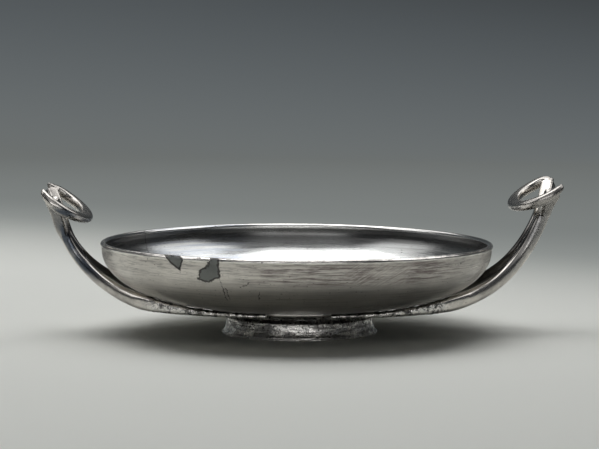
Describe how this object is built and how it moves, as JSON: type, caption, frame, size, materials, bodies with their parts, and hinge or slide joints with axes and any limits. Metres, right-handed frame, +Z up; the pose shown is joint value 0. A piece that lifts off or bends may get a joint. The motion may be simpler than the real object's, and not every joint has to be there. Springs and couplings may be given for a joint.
{
  "type": "stemless cup",
  "caption": "Shallow silver drinking cup on a low ring foot, with two upswept handles whose tops fold back inward as open loops.",
  "frame": {"origin": "on the standing surface, in the middle of the overall length across the handles", "axes": "+X to the right-hand handle, along the overall length; +Y away from the side shown; +Z up out of the bowl"},
  "size_m": [0.1987, 0.1506, 0.0591],
  "materials": {
    "bowl_silver": "worn silver, satin, with fine horizontal scratches, grey fills and brown corrosion streaks",
    "foot_silver": "tarnished silver, pitted and stained dark",
    "handle_silver": "polished cast silver, tarnished in the hollows, with rough solder where it lies on the bowl"
  },
  "bodies": {
    "root": {"bowl": "bowl_silver", "foot": "foot_silver", "handle_left": "handle_silver", "handle_right": "handle_silver"}
  },
  "joints": []
}
